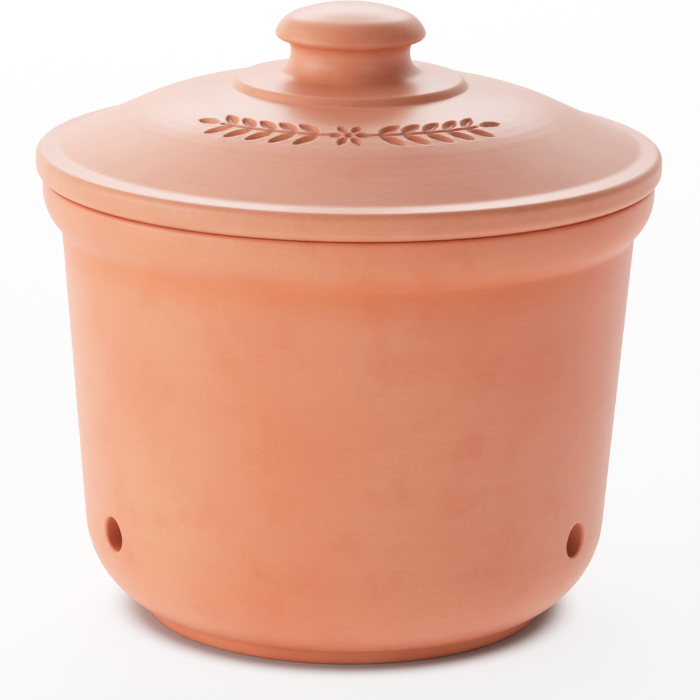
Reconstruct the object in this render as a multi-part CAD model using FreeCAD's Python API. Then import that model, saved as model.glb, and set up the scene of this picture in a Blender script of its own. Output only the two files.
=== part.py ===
import FreeCAD, Part
import math
import os

# Ventilated storage pot of unglazed terracotta with a lift-off lid.
# Millimetres, +Z up. The origin is the centre of the foot ring, on the surface that the pot stands on.
# The pattern pressed into the lid faces -Y, which is the front.
# An outline is a list of (radius, height, rounding) corners in the half plane through the axis.

# Pot
foot_radius = 64.4
foot_height = 5.0
foot_inner_radius = 54.6
foot_flare = 1.1                # the foot ring's outward lean over its height
recess_height = 3.0
recess_draft = 1.4              # the ring's inner wall leans outwards by this on its way down
belly_start = (69.3, 6.0)       # where the belly leaves the foot ring
floor_height = 11.0
wall_thickness = 8.0
wall_low = (83.4, 15.6)         # outer wall line, carried down to the belly's corner
wall_high = (92.0, 127.2)       # outer wall line, up to the bead
belly_rounding = 31.0
floor_rounding = 21.0
rim_radius = 97.9
rim_height = 143.8
bead_height = 134.0             # lowest point of the bead's full width
bead_rounding = 16.0

# Vents
vent_count = 3
vent_radius = 5.5
vent_height = 35.0
vent_lip = 0.6
first_vent_azimuth = 60.0       # from the front, to the right
vent_drill_start = 10.0         # how far inside the wall the drilling cylinder begins
vent_drill_length = 30.0

# Lid
seat_gap = 0.3                  # between the rim and the lid that rests on it
lid_radius = 100.0
edge_rounding = 2.5
edge_top = 152.9                # where the flange's slope would meet the lid's widest circle
edge_drop = 1.5                 # from the lid's widest stretch down to its seat
edge_low_rounding = 3.0
locator_radius = 83.4
locator_inner_radius = 77.6
locator_drop = 6.6
locator_draft = 0.5
hollow_edge = (76.6, 153.2)     # corner between the locating ring and the hollow under the dome
hollow_shoulder = (60.2, 160.85)
hollow_crown = (36.0, 167.0)
hollow_height = 168.0
flange = (93.0, 153.6)          # where the dome turns into the nearly level flange
flange_rounding = 8.0
shoulder = (61.2, 168.65)       # where the dome turns from its steep to its flat stretch
shoulder_rounding = 80.0
collar_base = (37.65, 172.8)
collar_top = (36.1, 175.4)
collar_rounding = 2.2
neck_radius = 19.1
neck_low = 177.5
neck_high = 187.4
cap_edge = (24.65, 188.4)
cap_shoulder = (22.0, 194.6)
cap_rounding = 9.8
tip_radius = 8.5
tip_rounding = 45.0
total_height = 199.0

# Leaf band pressed into the lid
band_radius = 59.0
band_depth = 1.2
stem_width = 1.0
pairs_per_side = 5
first_pair_azimuth = 9.0
pair_step = 7.0
leaf_length = 8.6
leaf_width = 3.2
leaf_tilt = 36.0                # between a leaf and the stem
petal_count = 6
petal_length = 4.6
petal_width = 2.4
petal_start = 1.9               # from the flower's middle to a petal
bud_radius = 1.2


def corner_arc(before, corner, after, rounding):
    """Start, middle and end of the arc that rounds one corner."""
    here = FreeCAD.Vector(corner[0], 0, corner[1])
    back = (FreeCAD.Vector(before[0], 0, before[1]) - here).normalize()
    on = (FreeCAD.Vector(after[0], 0, after[1]) - here).normalize()
    half_angle = back.getAngle(on) / 2
    reach = rounding / math.tan(half_angle)
    bisector = (back + on).normalize()
    centre = here + bisector * (rounding / math.sin(half_angle))
    return here + back * reach, centre - bisector * rounding, here + on * reach


def turned(outline):
    """Solid of revolution about Z from an outline that starts and ends on the axis."""
    edges = []
    last = FreeCAD.Vector(outline[0][0], 0, outline[0][1])
    for before, corner, after in zip(outline, outline[1:], outline[2:]):
        if corner[2] > 0:
            start, middle, end = corner_arc(before, corner, after, corner[2])
            edges.append(Part.LineSegment(last, start).toShape())
            edges.append(Part.Arc(start, middle, end).toShape())
        else:
            end = FreeCAD.Vector(corner[0], 0, corner[1])
            edges.append(Part.LineSegment(last, end).toShape())
        last = end
    end = FreeCAD.Vector(outline[-1][0], 0, outline[-1][1])
    edges.append(Part.LineSegment(last, end).toShape())
    edges.append(Part.LineSegment(end, edges[0].Vertexes[0].Point).toShape())
    face = Part.Face(Part.Wire(edges))
    return face.revolve(FreeCAD.Vector(0, 0, 0), FreeCAD.Vector(0, 0, 1), 360)


def from_front(radius, azimuth, height=0.0):
    """Point at a radius and an azimuth measured from the front (-Y) towards +X."""
    angle = math.radians(azimuth)
    return FreeCAD.Vector(radius * math.sin(angle), -radius * math.cos(angle), height)


def inner_wall(height):
    """Radius of the inside of the pot's tapered wall at a height."""
    taper = (wall_high[0] - wall_low[0]) / (wall_high[1] - wall_low[1])
    return wall_low[0] + taper * (height - wall_low[1]) - wall_thickness


def pot():
    """Foot ring, belly, tapered wall and beaded rim, thrown as one hollow body, with three vents."""
    outline = [
        (0, recess_height, 0),
        (foot_inner_radius - recess_draft, recess_height, 1.5),
        (foot_inner_radius, 0, 1.0),
        (foot_radius, 0, 1.2),
        (foot_radius + foot_flare, foot_height, 1.5),
        (*belly_start, 3.0),
        (*wall_low, belly_rounding),
        (*wall_high, 3.0),
        (rim_radius, bead_height, bead_rounding),
        (rim_radius, rim_height, 1.2),
        (inner_wall(rim_height), rim_height, 2.5),
        (inner_wall(floor_height), floor_height, floor_rounding),
        (0, floor_height, 0),
    ]
    body = turned(outline)
    for index in range(vent_count):
        azimuth = first_vent_azimuth + index * 360.0 / vent_count
        start = from_front(inner_wall(vent_height) - vent_drill_start, azimuth, vent_height)
        drill = Part.makeCylinder(vent_radius, vent_drill_length, start, from_front(1, azimuth))
        body = body.cut(drill)
    lips = [edge for edge in body.Edges if is_vent_lip(edge)]
    return body.makeFillet(vent_lip, lips)


def is_vent_lip(edge):
    """True for an edge round a vent on the outside of the wall, which the belly's end may split."""
    box = edge.BoundBox
    beside = abs(box.Center.z - vent_height) < vent_radius
    upright = vent_radius / 20 < box.ZLength < 3 * vent_radius
    outside = math.hypot(box.Center.x, box.Center.y) > inner_wall(vent_height) + 0.75 * wall_thickness
    return beside and upright and outside


def leaf(base, tip, width):
    """Upright prism whose plan is a leaf: two equal arcs between its base and its tip."""
    middle = (base + tip) * 0.5
    along = (tip - base).normalize()
    side = FreeCAD.Vector(-along.y, along.x, 0) * (width / 2)
    arcs = [Part.Arc(base, middle + side, tip).toShape(), Part.Arc(tip, middle - side, base).toShape()]
    return Part.Face(Part.Wire(arcs)).extrude(FreeCAD.Vector(0, 0, total_height))


def stem(side):
    """Upright prism over the thin arc that one side's leaves grow from."""
    first = first_pair_azimuth - pair_step / 2
    sweep = (pairs_per_side + 0.2) * pair_step
    ring = Part.makeCylinder(band_radius + stem_width / 2, total_height)
    ring = ring.cut(Part.makeCylinder(band_radius - stem_width / 2, total_height))
    start = -90 + (first if side > 0 else -first - sweep)
    origin = FreeCAD.Vector(0, 0, 0)
    upward = FreeCAD.Vector(0, 0, 1)
    wedge = Part.makeCylinder(lid_radius, total_height, origin, upward, sweep)
    wedge.rotate(origin, upward, start)
    return ring.common(wedge)


def leaf_band():
    """The band's pattern as upright prisms: a flower at the front and a leafy stem to each side."""
    heart = from_front(band_radius, 0)
    shapes = [Part.makeCylinder(bud_radius, total_height, heart)]
    for index in range(petal_count):
        ray = from_front(1, (index + 0.5) * 360.0 / petal_count)
        base = heart + ray * petal_start
        shapes.append(leaf(base, base + ray * petal_length, petal_width))
    for side in (-1, 1):
        shapes.append(stem(side))
        for index in range(pairs_per_side):
            azimuth = side * (first_pair_azimuth + index * pair_step)
            for lean in (-leaf_tilt, leaf_tilt):
                base = from_front(band_radius + math.copysign(stem_width, lean), azimuth)
                ray = from_front(1, azimuth + side * (90 - lean))
                shapes.append(leaf(base, base + ray * leaf_length, leaf_width))
        azimuth = side * (first_pair_azimuth + (pairs_per_side - 0.15) * pair_step)
        base = from_front(band_radius, azimuth)
        shapes.append(leaf(base, base + from_front(leaf_length, azimuth + side * 90), leaf_width))
    return shapes


def lid():
    """Domed lid with a locating ring below and a mushroom knob on a stepped collar, all one piece."""
    seat = rim_height + seat_gap
    outline = [
        (0, total_height, 0),
        (tip_radius, total_height, tip_rounding),
        (*cap_shoulder, cap_rounding),
        (*cap_edge, 1.7),
        (neck_radius, neck_high, 3.5),
        (neck_radius, neck_low, 6.3),
        (*collar_top, collar_rounding),
        (*collar_base, 1.0),
        (*shoulder, shoulder_rounding),
        (*flange, flange_rounding),
        (lid_radius, edge_top, edge_rounding),
        (lid_radius, seat + edge_drop, edge_low_rounding),
        (lid_radius - 2 * edge_drop, seat, 0),
        (locator_radius, seat, 1.0),
        (locator_radius - locator_draft, seat - locator_drop, 1.5),
        (locator_inner_radius, seat - locator_drop, 1.5),
        (*hollow_edge, 6.0),
        (*hollow_shoulder, shoulder_rounding),
        (*hollow_crown, 60.0),
        (0, hollow_height, 0),
    ]
    skin = turned([
        (0, total_height, 0),
        (flange[0], total_height, 0),
        (flange[0], flange[1] - band_depth, 0),
        (shoulder[0], shoulder[1] - band_depth, shoulder_rounding),
        (collar_base[0], collar_base[1] - band_depth, 0),
        (0, collar_base[1] - band_depth, 0),
    ])
    pattern = [shape.common(skin) for shape in leaf_band()]
    return turned(outline).cut(pattern)


os.makedirs("parts", exist_ok=True)
for name, shape in (("pot", pot()), ("lid", lid())):
    shape.exportStep("parts/" + name + ".step")
    print(name, "valid" if shape.isValid() else "not valid", round(shape.Volume / 1000), "cm3")
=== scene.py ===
import math

import bpy
import numpy as np
from mathutils import Matrix, Vector


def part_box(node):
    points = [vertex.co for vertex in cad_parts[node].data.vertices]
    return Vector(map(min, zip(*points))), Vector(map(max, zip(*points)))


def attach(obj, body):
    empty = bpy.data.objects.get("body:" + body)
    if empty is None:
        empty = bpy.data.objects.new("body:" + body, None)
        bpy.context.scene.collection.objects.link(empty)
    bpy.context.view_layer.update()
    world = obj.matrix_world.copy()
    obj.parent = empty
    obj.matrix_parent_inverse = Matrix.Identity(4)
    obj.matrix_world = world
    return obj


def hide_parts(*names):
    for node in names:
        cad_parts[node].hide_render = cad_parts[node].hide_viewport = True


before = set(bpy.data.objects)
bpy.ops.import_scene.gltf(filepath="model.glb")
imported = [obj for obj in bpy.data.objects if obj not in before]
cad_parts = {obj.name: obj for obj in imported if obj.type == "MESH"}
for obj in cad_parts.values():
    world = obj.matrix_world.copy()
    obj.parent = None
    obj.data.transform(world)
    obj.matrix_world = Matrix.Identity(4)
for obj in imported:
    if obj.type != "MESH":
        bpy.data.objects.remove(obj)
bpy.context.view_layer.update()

# A ventilated storage pot in unglazed terracotta with its lift-off lid.
# Both are turned shapes, so each is an outline carried round the Z axis. The front is -Y.
# Sizes in the dictionaries are millimetres; meshes are put down in metres.

mm = 0.001
potLow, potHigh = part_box("pot")
lidLow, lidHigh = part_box("lid")
rimRadius = potHigh.x / mm
rimHeight = potHigh.z / mm
lidRadius = lidHigh.x / mm
topHeight = lidHigh.z / mm


# ---- helpers for turned shapes

def roundedOutline(corners, arcStep):
    # Walks from corner to corner in straight runs, and rounds each corner with the arc of its radius that
    # touches both runs. corner = (radius, height, rounding, point spacing on the run that leads to it,
    # and where it differs from arcStep, point spacing on the arc)
    points = [np.array(corners[0][:2], float)[None]]
    last = points[0][0]
    for before, corner, after in zip(corners, corners[1:], corners[2:] + [None]):
        here = np.array(corner[:2], float)
        if after is None or corner[2] == 0:
            arc = here[None]
        else:
            back = np.array(before[:2], float) - here
            ahead = np.array(after[:2], float) - here
            back, ahead = back / np.hypot(*back), ahead / np.hypot(*ahead)
            halfAngle = math.acos(float(np.clip(back @ ahead, -1, 1))) / 2
            bisector = (back + ahead) / np.hypot(*(back + ahead))
            centre = here + bisector * corner[2] / math.sin(halfAngle)
            turn = math.pi / 2 - halfAngle
            side = math.copysign(1, back[0] * ahead[1] - back[1] * ahead[0])
            spacing = corner[4] if len(corner) > 4 else arcStep
            count = max(4, math.ceil(2 * turn * corner[2] / spacing) + 1)
            angles = side * np.linspace(-turn, turn, count)
            cos, sin = np.cos(angles), np.sin(angles)
            spoke = -bisector * corner[2]
            arc = centre + np.stack([spoke[0] * cos + spoke[1] * sin, spoke[1] * cos - spoke[0] * sin], 1)
            if np.hypot(*(arc[0] - here - back)) > np.hypot(*(arc[-1] - here - back)):
                arc = arc[::-1]
        length = np.hypot(*(arc[0] - last))
        steps = max(1, round(length / corner[3]))
        run = last + (arc[0] - last) * np.linspace(0, 1, steps + 1)[1:-1, None]
        points += [run, arc]
        last = arc[-1]
    line = np.concatenate(points)
    apart = np.hypot(*np.diff(line, axis=0).T) > 1e-4
    return line[np.concatenate([[True], apart])]


def aroundAxis(azimuth, radius, height):
    # Azimuth 0 is the front (-Y) and grows towards +X: x = r sin a, y = -r cos a
    return np.stack(np.broadcast_arrays(radius * np.sin(azimuth), -radius * np.cos(azimuth), height), -1)


def turnedFaces(rows, columns):
    # Quads between neighbouring rings, and a fan of triangles at each pole.
    # Point 0 is the first pole, then the rings in order, then the last pole.
    ring = np.arange(rows - 2)[:, None] * columns + 1
    here = np.arange(columns)
    after = (here + 1) % columns
    quads = np.stack([ring[:-1] + here, ring[:-1] + after, ring[1:] + after, ring[1:] + here], -1)
    lastPole = (rows - 2) * columns + 1
    first = np.stack([np.zeros(columns, int), 1 + after, 1 + here], -1)
    last = np.stack([ring[-1] + here, ring[-1] + after, np.full(columns, lastPole)], -1)
    return quads, first, last


def makePiece(name, points, faceGroups):
    # Puts whole arrays of points and faces into one smooth mesh, in metres
    loops = np.concatenate([group.ravel() for group in faceGroups]).astype(np.int32)
    sizes = np.concatenate([np.full(len(group), group.shape[1]) for group in faceGroups])
    starts = np.concatenate([[0], np.cumsum(sizes)[:-1]]).astype(np.int32)
    mesh = bpy.data.meshes.new(name)
    mesh.vertices.add(len(points))
    mesh.vertices.foreach_set("co", (points * mm).astype(np.float32).ravel())
    mesh.loops.add(len(loops))
    mesh.loops.foreach_set("vertex_index", loops)
    mesh.polygons.add(len(starts))
    mesh.polygons.foreach_set("loop_start", starts)
    mesh.polygons.foreach_set("use_smooth", np.ones(len(starts), bool))
    mesh.update(calc_edges=True)
    mesh.validate()
    piece = bpy.data.objects.new(name, mesh)
    bpy.context.scene.collection.objects.link(piece)
    return piece


# ---- pot

pot = {
    "footRadius": 64.4, "footHeight": 5.0, "footFlare": 1.1, "footRounding": 1.2, "flareRounding": 1.5,
    "footInnerRadius": 54.6, "footInnerRounding": 1.0, "recess": 3.0, "recessDraft": 1.4, "recessRounding": 1.5,
    "bellyStart": (69.3, 6.0), "bellyStartRounding": 3.0, "bellyRounding": 31.0,
    "wallLow": (83.4, 15.6), "wallHigh": (92.0, 127.2), "neckRounding": 3.0,
    "beadHeight": 134.0, "beadRounding": 16.0, "rimRounding": 1.2, "lip": 2.5,
    "wall": 8.0, "innerSplit": 55.0, "floor": 11.0, "floorRounding": 21.0,
    "columns": 360, "arcStep": 1.5,
    "wobble": 0.12, "wobbleTwist": 60.0, "ringPitch": 5.3, "ringDepth": 0.035, "ringDrift": 17.0, "fade": 20.0,
}
vents = {
    "count": 3, "radius": 5.5, "height": 35.0, "firstAzimuth": 60.0, "lip": 1.0, "lipRings": 6,
    "half": 6,                       # wall columns and rings that a vent's patch takes, to each side
    "spread": (0.3, 0.6, 0.85),      # places of the rings between the patch's square edge and the lip
    "tunnel": (0.33, 0.67),          # places of the rings inside the wall
}


def potInner(height):
    # Inside of the tapered wall: the outer line moved in by the wall's thickness
    (lowRadius, lowHeight), (highRadius, highHeight) = pot["wallLow"], pot["wallHigh"]
    taper = (highRadius - lowRadius) / (highHeight - lowHeight)
    return lowRadius + taper * (height - lowHeight) - pot["wall"]


def potRelief(azimuth, height):
    # The hand's slight unevenness: two and three slow waves round the pot, and faint throwing rings up it,
    # whose spacing drifts a little. Both fade out towards the rim and the foot.
    slow = np.sin(2 * azimuth + 0.7) + 0.6 * np.sin(3 * azimuth + height / pot["wobbleTwist"])
    drift = 1.3 * np.sin(height / pot["ringDrift"]) + 0.4 * np.sin(azimuth)
    rings = np.sin(2 * math.pi * height / pot["ringPitch"] + drift)
    fade = np.clip((rimHeight - 8 - height) / pot["fade"], 0, 1) * np.clip(height / pot["fade"], 0, 1)
    return (pot["wobble"] * slow + pot["ringDepth"] * rings) * fade


def makePot():
    # The outline runs from the axis under the foot, up the outside, over the rim and down the inside,
    # and each of its points is carried round the axis: radius(azimuth, point) = outline radius + relief
    corners = [
        (0, pot["recess"], 0, 1),
        (pot["footInnerRadius"] - pot["recessDraft"], pot["recess"], pot["recessRounding"], 4),
        (pot["footInnerRadius"], 0, pot["footInnerRounding"], 1),
        (pot["footRadius"], 0, pot["footRounding"], 3),
        (pot["footRadius"] + pot["footFlare"], pot["footHeight"], pot["flareRounding"], 1.2),
        (*pot["bellyStart"], pot["bellyStartRounding"], 1.2),
        (*pot["wallLow"], pot["bellyRounding"], 1.5),
        (*pot["wallHigh"], pot["neckRounding"], 1.5),
        (rimRadius, pot["beadHeight"], pot["beadRounding"], 1.2),
        (rimRadius, rimHeight, pot["rimRounding"], 1.2),
        (potInner(rimHeight), rimHeight, pot["lip"], 2.5),
        (potInner(pot["innerSplit"]), pot["innerSplit"], 0, 5),     # finer points below this, for the vents
        (potInner(pot["floor"]), pot["floor"], pot["floorRounding"], 1.5),
        (0, pot["floor"], 0, 5),
    ]
    outline = roundedOutline(corners, pot["arcStep"])
    columns = pot["columns"]
    azimuth = np.arange(columns) * 2 * math.pi / columns
    radius = outline[1:-1, 0, None] + potRelief(azimuth, outline[1:-1, 1, None])
    grid = aroundAxis(azimuth, radius, outline[1:-1, 1, None])
    flatGrid = grid.reshape(-1, 3)
    points = [[[0, 0, outline[0, 1]]], flatGrid, [[0, 0, outline[-1, 1]]]]
    quads, first, last = turnedFaces(len(outline), columns)

    # A vent takes a square of cells out of each side of the wall. Rings of points lead from the square to
    # the rounded lip, through the wall and out to the other square. The wall is radius against height.
    top = int(np.argmax(outline[:, 1]))
    outside, inside = outline[:top], outline[top:][::-1]
    outRow = int(np.argmin(np.abs(outline[:top, 1] - vents["height"]))) - 1
    inRow = top + int(np.argmin(np.abs(outline[top:, 1] - vents["height"]))) - 1
    half = vents["half"]
    keep = np.ones(quads.shape[:2], bool)
    patches = []
    total = len(flatGrid) + 2
    across = np.concatenate([np.arange(-half, half), np.full(2 * half, half),
                             np.arange(half, -half, -1), np.full(2 * half, -half)])
    upward = np.roll(across, 2 * half)
    around = math.radians(-135) + np.arange(8 * half) * 2 * math.pi / (8 * half)
    circle = np.stack([np.cos(around), np.sin(around)], 1)
    for index in range(vents["count"]):
        angle = math.radians(vents["firstAzimuth"]) + index * 2 * math.pi / vents["count"]
        column = round(angle / (2 * math.pi) * columns)
        columnsHere = (column + across) % columns
        outward = np.array([math.sin(angle), -math.cos(angle), 0])
        sideways = np.array([math.cos(angle), math.sin(angle), 0])
        up = np.array([0, 0, 1.0])

        def wallPoint(place, wallLine, inset):
            # A point of the wall above a place in the vent's own plane, moved towards the wall's middle
            height = vents["height"] + place[:, 1]
            radius = np.interp(height, wallLine[:, 1], wallLine[:, 0])
            reach = np.sqrt(radius ** 2 - place[:, 0] ** 2)
            azimuthHere = angle + np.arctan2(place[:, 0], reach)
            reach = reach + potRelief(azimuthHere, height) - inset
            return reach[:, None] * outward + place[:, :1] * sideways + height[:, None] * up

        borders = []
        for row, direction in ((outRow, 1), (inRow, -1)):
            ringRow = row + direction * upward
            borders.append(1 + ringRow * columns + columnsHere)
            cells = (column - half + np.arange(2 * half)) % columns
            keep[row - half:row + half, cells] = False
        loops = []
        lipTurn = np.linspace(0, math.pi / 2, vents["lipRings"])
        for border, wallLine, sign in ((borders[0], outside, 1), (borders[1], inside, -1)):
            edge = flatGrid[border - 1]
            place = np.stack([edge @ sideways, edge[:, 2] - vents["height"]], 1)
            lipRadius = vents["radius"] + vents["lip"]
            blend = [place * (1 - share) + circle * lipRadius * share for share in vents["spread"]]
            spread = [wallPoint(between, wallLine, 0) for between in blend]
            lip = [wallPoint(circle * (vents["radius"] + vents["lip"] * (1 - math.sin(turn))), wallLine,
                             sign * vents["lip"] * (1 - math.cos(turn))) for turn in lipTurn]
            loops.append(spread + lip)
        tunnel = [loops[0][-1] * (1 - share) + loops[1][-1] * share for share in vents["tunnel"]]
        ringPoints = loops[0] + tunnel + loops[1][::-1]
        points.append(np.concatenate(ringPoints))
        count = len(around)
        new = total + np.arange(len(ringPoints) * count).reshape(-1, count)
        total += new.size
        order = np.concatenate([[borders[0]], new, [borders[1]]])
        nextOver = np.roll(order, -1, axis=1)
        patches.append(np.stack([order[:-1], nextOver[:-1], nextOver[1:], order[1:]], -1).reshape(-1, 4))
    piece = makePiece("potBody", np.concatenate(points), [quads[keep], first, last] + patches)
    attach(piece, "pot")
    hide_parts("pot")
    return piece


# ---- lid

lid = {
    "edgeTop": 152.9, "edgeDrop": 1.5, "edgeRounding": 2.5, "edgeLowRounding": 3.0,
    "flange": (93.0, 153.6), "flangeRounding": 8.0, "shoulder": (61.2, 168.65), "shoulderRounding": 80.0,
    "locator": 83.4, "locatorInner": 77.6, "locatorDrop": 6.6, "locatorDraft": 0.5,
    "locatorRounding": 1.5, "locatorTopRounding": 1.0,
    "hollowEdge": (76.6, 153.2), "hollowEdgeRounding": 6.0, "hollowShoulder": (60.2, 160.85),
    "hollowCrown": (36.0, 167.0), "hollowCrownRounding": 60.0, "hollowHeight": 168.0,
    "collarBase": (37.65, 172.8), "collarBaseRounding": 1.0, "collarTop": (36.1, 175.4), "collarRounding": 2.2,
    "neck": 19.1, "neckLow": 177.5, "neckLowRounding": 6.3, "neckHigh": 187.4, "neckHighRounding": 3.5,
    "capEdge": (24.65, 188.4), "capEdgeRounding": 1.7, "capShoulder": (22.0, 194.6), "capRounding": 9.8,
    "tip": 8.5, "tipRounding": 45.0, "arcStep": 0.9,
    "fineSector": 52.0, "fineColumns": 272, "coarseColumns": 92,   # fine where the leaf band is
    "ringDepth": 0.012, "ringPitch": 3.7, "ringDrift": 9.0, "ringFrom": 2.0, "ringTo": 91.0,
}
band = {
    "radius": 59.0, "depth": 1.25, "edge": 0.45, "stemWidth": 1.0, "pairs": 5, "firstAzimuth": 9.0, "step": 7.0,
    "leafLength": 8.6, "leafWidth": 3.2, "tilt": 36.0, "petals": 6, "petalLength": 4.6, "petalWidth": 2.4,
    "petalStart": 1.9, "bud": 1.2, "ribShare": 0.45, "ribWidth": 0.32,
    "swell": 0.07, "swellPlace": 0.5, "swellWidth": 0.45,          # clay pushed up round each mark
    "from": 48.0, "to": 70.0, "fineFrom": 49.0,                    # the part of the dome that carries it
}


def leafDistance(x, y, base, ray, length, width):
    # Distance to a leaf's outline, negative inside: the leaf is where two equal circles overlap
    along = (x - base[0]) * ray[0] + (y - base[1]) * ray[1] - length / 2
    over = np.abs((y - base[1]) * ray[0] - (x - base[0]) * ray[1])
    circle = (length ** 2 / 4 + width ** 2 / 4) / width
    offset = circle - width / 2
    return np.hypot(along, over + offset) - circle, over


def pressedPattern(x, y):
    # How deep the stamped band is at a place in plan: a flower in front and a leafy stem to each side.
    # Each mark falls off over the edge width, and a leaf keeps a raised rib along its middle.
    # depth = pattern depth x deepest mark there, less a low swell of clay just outside the marks
    depth = np.zeros_like(x)
    swell = np.zeros_like(x)

    def press(distance, rib=1.0):
        mark = np.clip(0.5 - distance / band["edge"], 0, 1)
        mark = mark * mark * (3 - 2 * mark) * rib
        np.maximum(depth, mark, out=depth)
        np.maximum(swell, np.exp(-((distance - band["swellPlace"]) / band["swellWidth"]) ** 2), out=swell)

    def fromFront(radius, azimuth):
        return np.array([radius * math.sin(math.radians(azimuth)), -radius * math.cos(math.radians(azimuth))])

    def addLeaf(base, ray, length, width):
        distance, over = leafDistance(x, y, base, ray, length, width)
        press(distance, 1 - band["ribShare"] * np.exp(-(over / band["ribWidth"]) ** 2))

    heart = fromFront(band["radius"], 0)
    press(np.hypot(x - heart[0], y - heart[1]) - band["bud"])
    for index in range(band["petals"]):
        ray = fromFront(1, (index + 0.5) * 360 / band["petals"])
        addLeaf(heart + ray * band["petalStart"], ray, band["petalLength"], band["petalWidth"])
    azimuth = np.degrees(np.arctan2(x, -y))
    radius = np.hypot(x, y)
    stemFrom = band["firstAzimuth"] - band["step"] / 2
    stemTo = stemFrom + (band["pairs"] + 0.2) * band["step"]
    middle = (stemFrom + stemTo) / 2
    beyond = (np.abs(np.abs(azimuth) - middle) - (stemTo - stemFrom) / 2) * math.radians(1) * band["radius"]
    press(np.maximum(np.abs(radius - band["radius"]) - band["stemWidth"] / 2, beyond))
    for side in (-1, 1):
        for index in range(band["pairs"]):
            place = side * (band["firstAzimuth"] + index * band["step"])
            for lean in (-band["tilt"], band["tilt"]):
                base = fromFront(band["radius"] + math.copysign(band["stemWidth"], lean), place)
                addLeaf(base, fromFront(1, place + side * (90 - lean)), band["leafLength"], band["leafWidth"])
        place = side * (band["firstAzimuth"] + (band["pairs"] - 0.15) * band["step"])
        addLeaf(fromFront(band["radius"], place), fromFront(1, place + side * 90),
                band["leafLength"], band["leafWidth"])
    return band["depth"] * depth - band["swell"] * swell * (1 - depth)


def makeLid():
    # The outline runs from the axis under the dome, out over the locating ring and the edge and up to the
    # knob's tip, and each of its points is carried round the axis, with the pattern taken off its height
    locatorLow = lidLow.z / mm
    seat = locatorLow + lid["locatorDrop"]
    shoulder, collarBase, fineFrom = lid["shoulder"], lid["collarBase"], band["fineFrom"]
    fineShare = (fineFrom - collarBase[0]) / (shoulder[0] - collarBase[0])
    corners = [
        (0, lid["hollowHeight"], 0, 1),
        (*lid["hollowCrown"], lid["hollowCrownRounding"], 4),
        (*lid["hollowShoulder"], lid["shoulderRounding"], 4),
        (*lid["hollowEdge"], lid["hollowEdgeRounding"], 4),
        (lid["locatorInner"], locatorLow, lid["locatorRounding"], 2.5),
        (lid["locator"] - lid["locatorDraft"], locatorLow, lid["locatorRounding"], 1.5),
        (lid["locator"], seat, lid["locatorTopRounding"], 2),
        (lidRadius - 2 * lid["edgeDrop"], seat, 0, 2),
        (lidRadius, seat + lid["edgeDrop"], lid["edgeLowRounding"], 1),
        (lidRadius, lid["edgeTop"], lid["edgeRounding"], 1, 0.5),
        (*lid["flange"], lid["flangeRounding"], 0.8),
        (*shoulder, lid["shoulderRounding"], 1.2, 0.4),
        (fineFrom, collarBase[1] + fineShare * (shoulder[1] - collarBase[1]), 0, 0.4),
        (*collarBase, lid["collarBaseRounding"], 1.2, 0.3),
        (*lid["collarTop"], lid["collarRounding"], 0.6, 0.4),
        (lid["neck"], lid["neckLow"], lid["neckLowRounding"], 1.2),
        (lid["neck"], lid["neckHigh"], lid["neckHighRounding"], 0.8, 0.5),
        (*lid["capEdge"], lid["capEdgeRounding"], 0.8, 0.4),
        (*lid["capShoulder"], lid["capRounding"], 0.8),
        (lid["tip"], topHeight, lid["tipRounding"], 1.2),
        (0, topHeight, 0, 1.5),
    ]
    outline = roundedOutline(corners, lid["arcStep"])
    fineEdge = math.radians(lid["fineSector"])
    fine = np.linspace(-fineEdge, fineEdge, lid["fineColumns"], endpoint=False)
    coarse = np.linspace(fineEdge, 2 * math.pi - fineEdge, lid["coarseColumns"], endpoint=False)
    azimuth = np.concatenate([fine, coarse])
    radius, height = outline[1:-1, 0, None], outline[1:-1, 1, None]
    grid = aroundAxis(azimuth, radius, height)
    onTop = (np.arange(len(outline) - 2) > np.argmax(outline[:, 0]))[:, None]
    inBand = onTop & (radius > band["from"]) & (radius < band["to"])
    relief = np.where(inBand, -pressedPattern(grid[..., 0], grid[..., 1]), 0)
    # Faint turning rings on the dome: a sine of the radius whose spacing drifts a little
    dome = onTop & (radius > collarBase[0] + lid["ringFrom"]) & (radius < lid["ringTo"])
    drift = 1.1 * np.sin(radius / lid["ringDrift"]) + 0.4 * np.sin(azimuth)
    rings = np.sin(2 * math.pi * radius / lid["ringPitch"] + drift)
    grid[..., 2] += relief + np.where(dome, lid["ringDepth"] * rings, 0)
    points = np.concatenate([[[0, 0, outline[0, 1]]], grid.reshape(-1, 3), [[0, 0, outline[-1, 1]]]])
    quads, first, last = turnedFaces(len(outline), len(azimuth))
    piece = makePiece("lidBody", points, [quads.reshape(-1, 4), first, last])
    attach(piece, "lid")
    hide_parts("lid")
    return piece


# ---- materials

def toLinear(hexColour):
    # sRGB hex to the linear colour that a shader takes
    channels = np.array([int(hexColour[i:i + 2], 16) for i in (1, 3, 5)]) / 255
    linear = np.where(channels <= 0.04045, channels / 12.92, ((channels + 0.055) / 1.055) ** 2.4)
    return (*map(float, linear), 1.0)


def addNode(tree, kind, settings=None, **inputs):
    # Adds a node, sets its options, and links or sets its inputs (a digit after "in" is a socket's place)
    node = tree.nodes.new(kind)
    for name, value in (settings or {}).items():
        setattr(node, name, value)
    for name, value in inputs.items():
        socket = node.inputs[int(name[2:])] if name[:2] == "in" and name[2:].isdigit() else node.inputs[name]
        if isinstance(value, bpy.types.NodeSocket):
            tree.links.new(value, socket)
        else:
            socket.default_value = value
    return node


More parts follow.
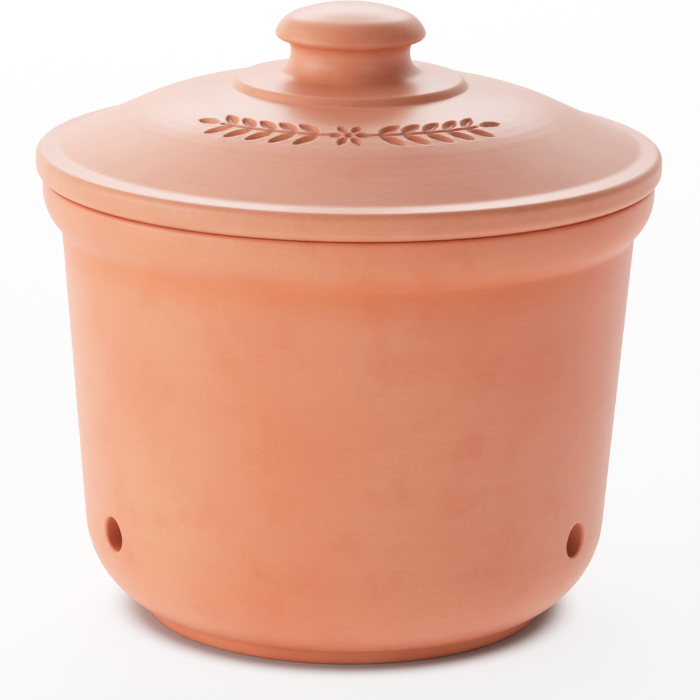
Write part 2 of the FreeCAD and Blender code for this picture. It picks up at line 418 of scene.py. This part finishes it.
terracotta = {
    # Painted light: the pot and the lid are one clay, but the lid's tints are kept paler than the pot's,
    # standing in for the pale sheen that reflection of the bright surroundings gives the dome
    "potTints": ("#D57A5A", "#D26E4D", "#CB6545"), "lidTints": ("#D17E60", "#CD7556", "#C66D4E"),
    # Painted shade under the pot's bead: its deeper orange colour, how much of it is mixed in, the height of
    # its middle and its reach up and down
    "underBeadShadeColour": "#CF5C28", "underBeadShadeShare": 0.5, "underBeadShadeHeight": 126.0, "underBeadShadeReach": 13.0,
    "cloudSize": 70.0, "cloudSpan": (0.35, 0.65), "mottleSize": 14.0, "mottleSpan": (0.1, 0.5),
    "grainSize": 0.9, "grainShade": (0.95, 1.04), "grainBump": 0.35, "grainDepth": 0.05,
    "turningPitch": 1.1, "turningShade": (0.98, 1.02), "turningBump": 0.25, "turningDepth": 0.06,
    "turningChange": 9.0,            # how fast the turning lines change on their way round
    "roughness": 0.4, "ior": 1.5, "specular": 0.32,
}


def unglazedTerracotta(name, ringSign, tints):
    # Low-fired clay, thrown or jollied and left bare: matt and slightly dusty, with fine grit,
    # faint turning lines round the axis and soft clouds of colour from the kiln, plus painted shade: a deeper,
    # darker orange in a band just under the pot's bead, where the bead shades the wall. The tints run from pale
    # to deep.
    material = bpy.data.materials.new(name)
    material.use_nodes = True
    tree = material.node_tree
    tree.nodes.clear()
    place = addNode(tree, "ShaderNodeTexCoord").outputs["Object"]
    split = addNode(tree, "ShaderNodeSeparateXYZ", in0=place).outputs
    # Turning lines follow height + radius (or height - radius), which changes along either outline's outside
    flat = addNode(tree, "ShaderNodeCombineXYZ", in0=split[0], in1=split[1]).outputs[0]
    radius = addNode(tree, "ShaderNodeVectorMath", {"operation": "LENGTH"}, in0=flat).outputs["Value"]
    signed = addNode(tree, "ShaderNodeMath", {"operation": "MULTIPLY"}, in0=radius, in1=ringSign).outputs[0]
    climb = addNode(tree, "ShaderNodeMath", {"operation": "ADD"}, in0=split[2], in1=signed).outputs[0]
    perPitch = 1 / (terracotta["turningPitch"] * mm)
    line = addNode(tree, "ShaderNodeMath", {"operation": "MULTIPLY"}, in0=climb, in1=perPitch).outputs[0]
    slowly = addNode(tree, "ShaderNodeVectorMath", {"operation": "SCALE"}, in0=flat,
                     Scale=terracotta["turningChange"]).outputs[0]
    slowSplit = addNode(tree, "ShaderNodeSeparateXYZ", in0=slowly).outputs
    ringPlace = addNode(tree, "ShaderNodeCombineXYZ", in0=slowSplit[0], in1=slowSplit[1], in2=line).outputs[0]

    def noise(vector, size, detail, roughness):
        return addNode(tree, "ShaderNodeTexNoise", Vector=vector, Scale=1 / (size * mm), Detail=detail,
                       Roughness=roughness).outputs["Fac"]

    turning = addNode(tree, "ShaderNodeTexNoise", Vector=ringPlace, Scale=1.0, Detail=2.0,
                      Roughness=0.5).outputs["Fac"]
    cloud = noise(place, terracotta["cloudSize"], 2.0, 0.5)
    mottle = noise(place, terracotta["mottleSize"], 4.0, 0.6)
    grain = noise(place, terracotta["grainSize"], 2.0, 0.6)

    def blend(factor, first, second, low, high):
        # Spreads the factor between two limits, then mixes two colours by it
        spread = addNode(tree, "ShaderNodeMapRange", in0=factor, in1=low, in2=high).outputs[0]
        mix = addNode(tree, "ShaderNodeMix", {"data_type": "RGBA"}, in0=spread)
        for socket, value in ((6, first), (7, second)):
            if isinstance(value, str):
                mix.inputs[socket].default_value = toLinear(value)
            else:
                tree.links.new(value, mix.inputs[socket])
        return mix.outputs[2]

    colour = blend(cloud, tints[1], tints[0], *terracotta["cloudSpan"])
    colour = blend(mottle, tints[2], colour, *terracotta["mottleSpan"])
    # Painted shade: the colour turns a deeper, darker orange in a band round the height just under the pot's
    # bead, where the bead shades the wall
    over = addNode(tree, "ShaderNodeMath", {"operation": "SUBTRACT"}, in0=split[2],
                   in1=terracotta["underBeadShadeHeight"] * mm).outputs[0]
    beside = addNode(tree, "ShaderNodeMath", {"operation": "ABSOLUTE"}, in0=over).outputs[0]
    underBeadShade = addNode(tree, "ShaderNodeMapRange", {"interpolation_type": "SMOOTHSTEP"}, in0=beside, in1=0.0,
                   in2=terracotta["underBeadShadeReach"] * mm, in3=terracotta["underBeadShadeShare"], in4=0.0).outputs[0]
    colour = blend(underBeadShade, colour, terracotta["underBeadShadeColour"], 0.0, 1.0)

    def shade(factor, span):
        # Turns a noise into a factor a little under and over one
        return addNode(tree, "ShaderNodeMapRange", in0=factor, in1=0.3, in2=0.7,
                       in3=span[0], in4=span[1]).outputs[0]

    both = addNode(tree, "ShaderNodeMath", {"operation": "MULTIPLY"},
                   in0=shade(grain, terracotta["grainShade"]),
                   in1=shade(turning, terracotta["turningShade"])).outputs[0]
    scaled = addNode(tree, "ShaderNodeVectorMath", {"operation": "SCALE"}, in0=colour, Scale=both).outputs[0]

    lineBump = addNode(tree, "ShaderNodeBump", Height=turning, Strength=terracotta["turningBump"],
                       Distance=terracotta["turningDepth"] * mm)
    grainBump = addNode(tree, "ShaderNodeBump", Height=grain, Strength=terracotta["grainBump"],
                        Distance=terracotta["grainDepth"] * mm, Normal=lineBump.outputs[0])
    shader = addNode(tree, "ShaderNodeBsdfPrincipled", Normal=grainBump.outputs[0])
    tree.links.new(scaled, shader.inputs["Base Color"])
    shader.inputs["Roughness"].default_value = terracotta["roughness"]
    shader.inputs["IOR"].default_value = terracotta["ior"]
    shader.inputs["Specular IOR Level"].default_value = terracotta["specular"]
    output = addNode(tree, "ShaderNodeOutputMaterial")
    tree.links.new(shader.outputs[0], output.inputs[0])
    return material


def paint(piece, material):
    piece.data.materials.clear()
    piece.data.materials.append(material)


print("pot")
potPiece = makePot()
print("lid")
lidPiece = makeLid()
print("materials")
paint(potPiece, unglazedTerracotta("unglazedTerracottaPot", 1.0, terracotta["potTints"]))
paint(lidPiece, unglazedTerracotta("unglazedTerracottaLid", -1.0, terracotta["lidTints"]))


# ---- floor, light and camera

studio = {
    "tableColour": "#A8A8A7",
    # The table's glow is painted light, and the ring round the foot where it fades out is a painted contact
    # shadow
    "paintedTableGlow": 1.0, "paintedGlowFrom": 66.0, "paintedGlowFull": 79.0,                 # limits in mm from the axis
    "front": 4.0, "sweepStart": 1.2, "sweepRadius": 1.0, "sweepSteps": 24, "height": 4.0, "halfWidth": 5.0,
    "sky": 0.0,                      # the room is dark: all light is from the boxes and the table
    "knee": 0.3, "white": 1.8, "curvePoints": 12,
}


def makeSweep():
    # A table top that curves up into the backdrop: flat, a quarter circle, then upright
    flat = np.array([[-studio["front"], 0], [0, 0], [studio["sweepStart"], 0]])
    turn = np.linspace(0, math.pi / 2, studio["sweepSteps"])[1:]
    curve = np.stack([studio["sweepStart"] + studio["sweepRadius"] * np.sin(turn),
                      studio["sweepRadius"] * (1 - np.cos(turn))], 1)
    line = np.concatenate([flat, curve, [[studio["sweepStart"] + studio["sweepRadius"], studio["height"]]]])
    sides = np.array([-studio["halfWidth"], studio["halfWidth"]])
    grid = np.stack(np.broadcast_arrays(sides, line[:, :1], line[:, 1:]), -1) / mm
    row = np.arange(len(line) - 1) * 2
    faces = np.stack([row, row + 1, row + 3, row + 2], -1)
    sweep = makePiece("studioSweep", grid.reshape(-1, 3), [faces])
    # Opal acrylic with a matt face and a glow of its own. The glow is painted light: it keeps the table white
    # beside the pot, filling in the shadow that the soft boxes cast there, and it fades out round the pot's
    # foot, which paints the contact shadow.
    material = bpy.data.materials.new("tableWithPaintedGlow")
    material.use_nodes = True
    tree = material.node_tree
    shader = tree.nodes["Principled BSDF"]
    shader.inputs["Base Color"].default_value = toLinear(studio["tableColour"])
    shader.inputs["Roughness"].default_value = 0.9
    shader.inputs["Specular IOR Level"].default_value = 0.1
    place = addNode(tree, "ShaderNodeTexCoord").outputs["Object"]
    away = addNode(tree, "ShaderNodeVectorMath", {"operation": "LENGTH"}, in0=place).outputs["Value"]
    # Painted contact shadow: no glow nearer the pot's axis than the first limit, rising smoothly to the full
    # glow at the second
    paintedTableGlow = addNode(tree, "ShaderNodeMapRange", {"interpolation_type": "SMOOTHSTEP"}, in0=away,
                   in1=studio["paintedGlowFrom"] * mm, in2=studio["paintedGlowFull"] * mm, in3=0.0, in4=studio["paintedTableGlow"])
    shader.inputs["Emission Color"].default_value = (1, 1, 1, 1)
    tree.links.new(paintedTableGlow.outputs[0], shader.inputs["Emission Strength"])
    paint(sweep, material)


softLights = {
    # name: (azimuth from the front, elevation, distance in metres, width, height, watts)
    "leftWall": (-75, 8, 2.0, 2.0, 1.0, 42),
    "leftHigh": (-95, 38, 2.0, 1.2, 0.9, 12),
    "backLeft": (-150, 12, 2.0, 1.3, 1.0, 5),
    "backStrip": (-178, 33, 2.0, 1.3, 0.6, 23),
    "overheadHigh": (-165, 62, 1.9, 1.2, 0.8, 6),
    "zenith": (-90, 86, 1.7, 1.2, 1.2, 4),
    "backRight": (150, 30, 2.0, 0.8, 0.7, 2),
    "fillRight": (35, 22, 2.0, 1.0, 1.0, 7),
    "fillLeft": (-45, 22, 2.0, 1.0, 1.0, 8),
}


def makeLights():
    aim = Vector((0, 0, topHeight * mm / 2))
    for name, (azimuth, elevation, distance, width, height, power) in softLights.items():
        turn, rise = math.radians(azimuth), math.radians(elevation)
        away = Vector((math.sin(turn) * math.cos(rise), -math.cos(turn) * math.cos(rise), math.sin(rise)))
        light = bpy.data.lights.new(name, "AREA")
        light.shape = "RECTANGLE"
        light.size = width
        light.size_y = height
        light.energy = power
        lamp = bpy.data.objects.new(name, light)
        lamp.location = aim + away * distance
        lamp.rotation_euler = away.to_track_quat("Z", "Y").to_euler()
        bpy.context.scene.collection.objects.link(lamp)
    world = bpy.data.worlds.new("studioAir")
    world.use_nodes = True
    background = world.node_tree.nodes["Background"]
    background.inputs["Color"].default_value = (1, 1, 1, 1)
    background.inputs["Strength"].default_value = studio["sky"]
    bpy.context.scene.world = world


def softenHighlights():
    # Film-like shoulder: straight up to the knee, then an even exponential approach to white at the top
    knee, top = studio["knee"], studio["white"]
    settings = bpy.context.scene.view_settings
    settings.view_transform = "Standard"
    settings.use_curve_mapping = True
    mapping = settings.curve_mapping
    mapping.white_level = (top, top, top)
    curve = mapping.curves[3]
    bright = np.linspace(knee, top, studio["curvePoints"])
    shoulder = knee + (1 - knee) * (1 - np.exp(-(bright - knee) / (1 - knee)))
    shoulder /= shoulder[-1]
    for level, shown in zip(bright[:-1], shoulder[:-1]):
        curve.points.new(float(level / top), float(shown))
    mapping.update()


view = {
    "place": (0.0, -1.2603, 0.4189), "aim": (0.0011, 0.0, 0.0853), "roll": 0.75,     # metres and degrees
    "lens": 206.9, "sensor": 36.0, "near": 0.05, "far": 50,
}


def makeCamera():
    place, aim = Vector(view["place"]), Vector(view["aim"])
    look = (aim - place).to_track_quat("-Z", "Y").to_matrix()
    roll = Matrix.Rotation(math.radians(view["roll"]), 3, "Z")
    camera = bpy.data.objects.new("camera", bpy.data.cameras.new("camera"))
    camera.data.lens = view["lens"]
    camera.data.sensor_width = view["sensor"]
    camera.data.clip_start = view["near"]
    camera.data.clip_end = view["far"]
    camera.rotation_euler = (look @ roll).to_euler()
    camera.location = place
    bpy.context.scene.collection.objects.link(camera)
    bpy.context.scene.camera = camera


print("studio")
makeSweep()
makeLights()
makeCamera()
softenHighlights()
